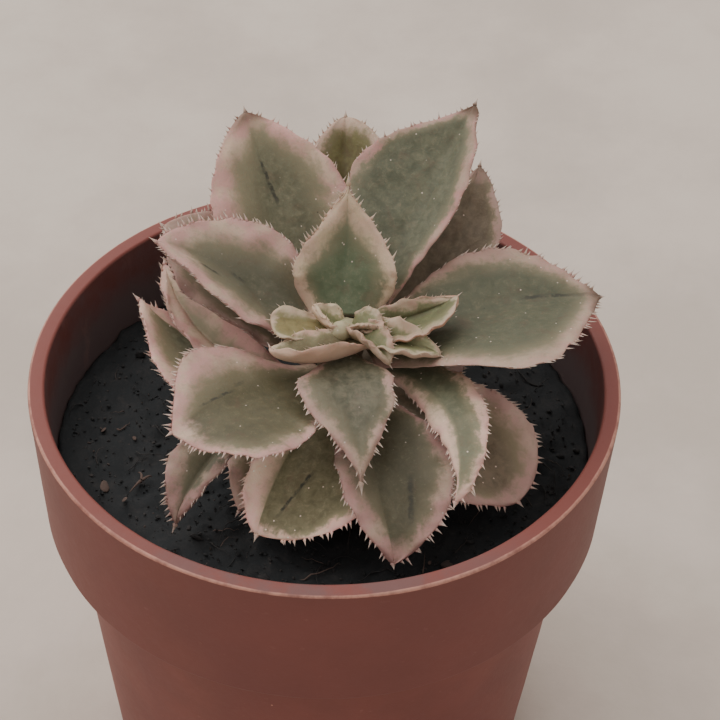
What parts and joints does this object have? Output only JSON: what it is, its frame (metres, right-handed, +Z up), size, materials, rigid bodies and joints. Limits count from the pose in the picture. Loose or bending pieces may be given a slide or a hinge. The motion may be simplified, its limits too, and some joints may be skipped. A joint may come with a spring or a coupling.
{
  "type": "potted aeonium",
  "caption": "Succulent rosette of broad, pointed leaves with toothed margins on a short stem, growing in the soil of a round plastic nursery pot with a stepped collar.",
  "frame": {"origin": "middle of the pot's foot, on the surface that it stands on", "axes": "+Z up along the pot's axis; -Y is the front, over which the lowest leaves hang; +X to the right seen from the front"},
  "size_m": [0.09, 0.09, 0.1072],
  "materials": {
    "pot": "satin moulded terracotta-brown plastic, slightly dusty",
    "soil": "dark moist peaty potting soil, matt",
    "stem": "matt greenish-brown succulent stem",
    "leaf": "satin waxy olive-green leaf with pink-cream margins"
  },
  "bodies": {
    "root": {"pot": "pot", "soil": "soil", "stem": "stem", "heart": "leaf", "leaf_back_left": "leaf", "leaf_back_middle": "leaf", "leaf_back_right": "leaf", "leaf_behind_right": "leaf", "leaf_right": "leaf", "leaf_upright": "leaf", "leaf_left": "leaf", "leaf_behind_left": "leaf", "leaf_low_left": "leaf", "leaf_folded": "leaf", "leaf_front_left": "leaf", "leaf_drooping": "leaf", "leaf_under": "leaf", "leaf_front_middle": "leaf", "leaf_front": "leaf", "leaf_inner_front": "leaf", "leaf_inner_front_right": "leaf", "leaf_front_right": "leaf", "leaf_low_back": "leaf", "leaf_low_right": "leaf"}
  },
  "joints": []
}
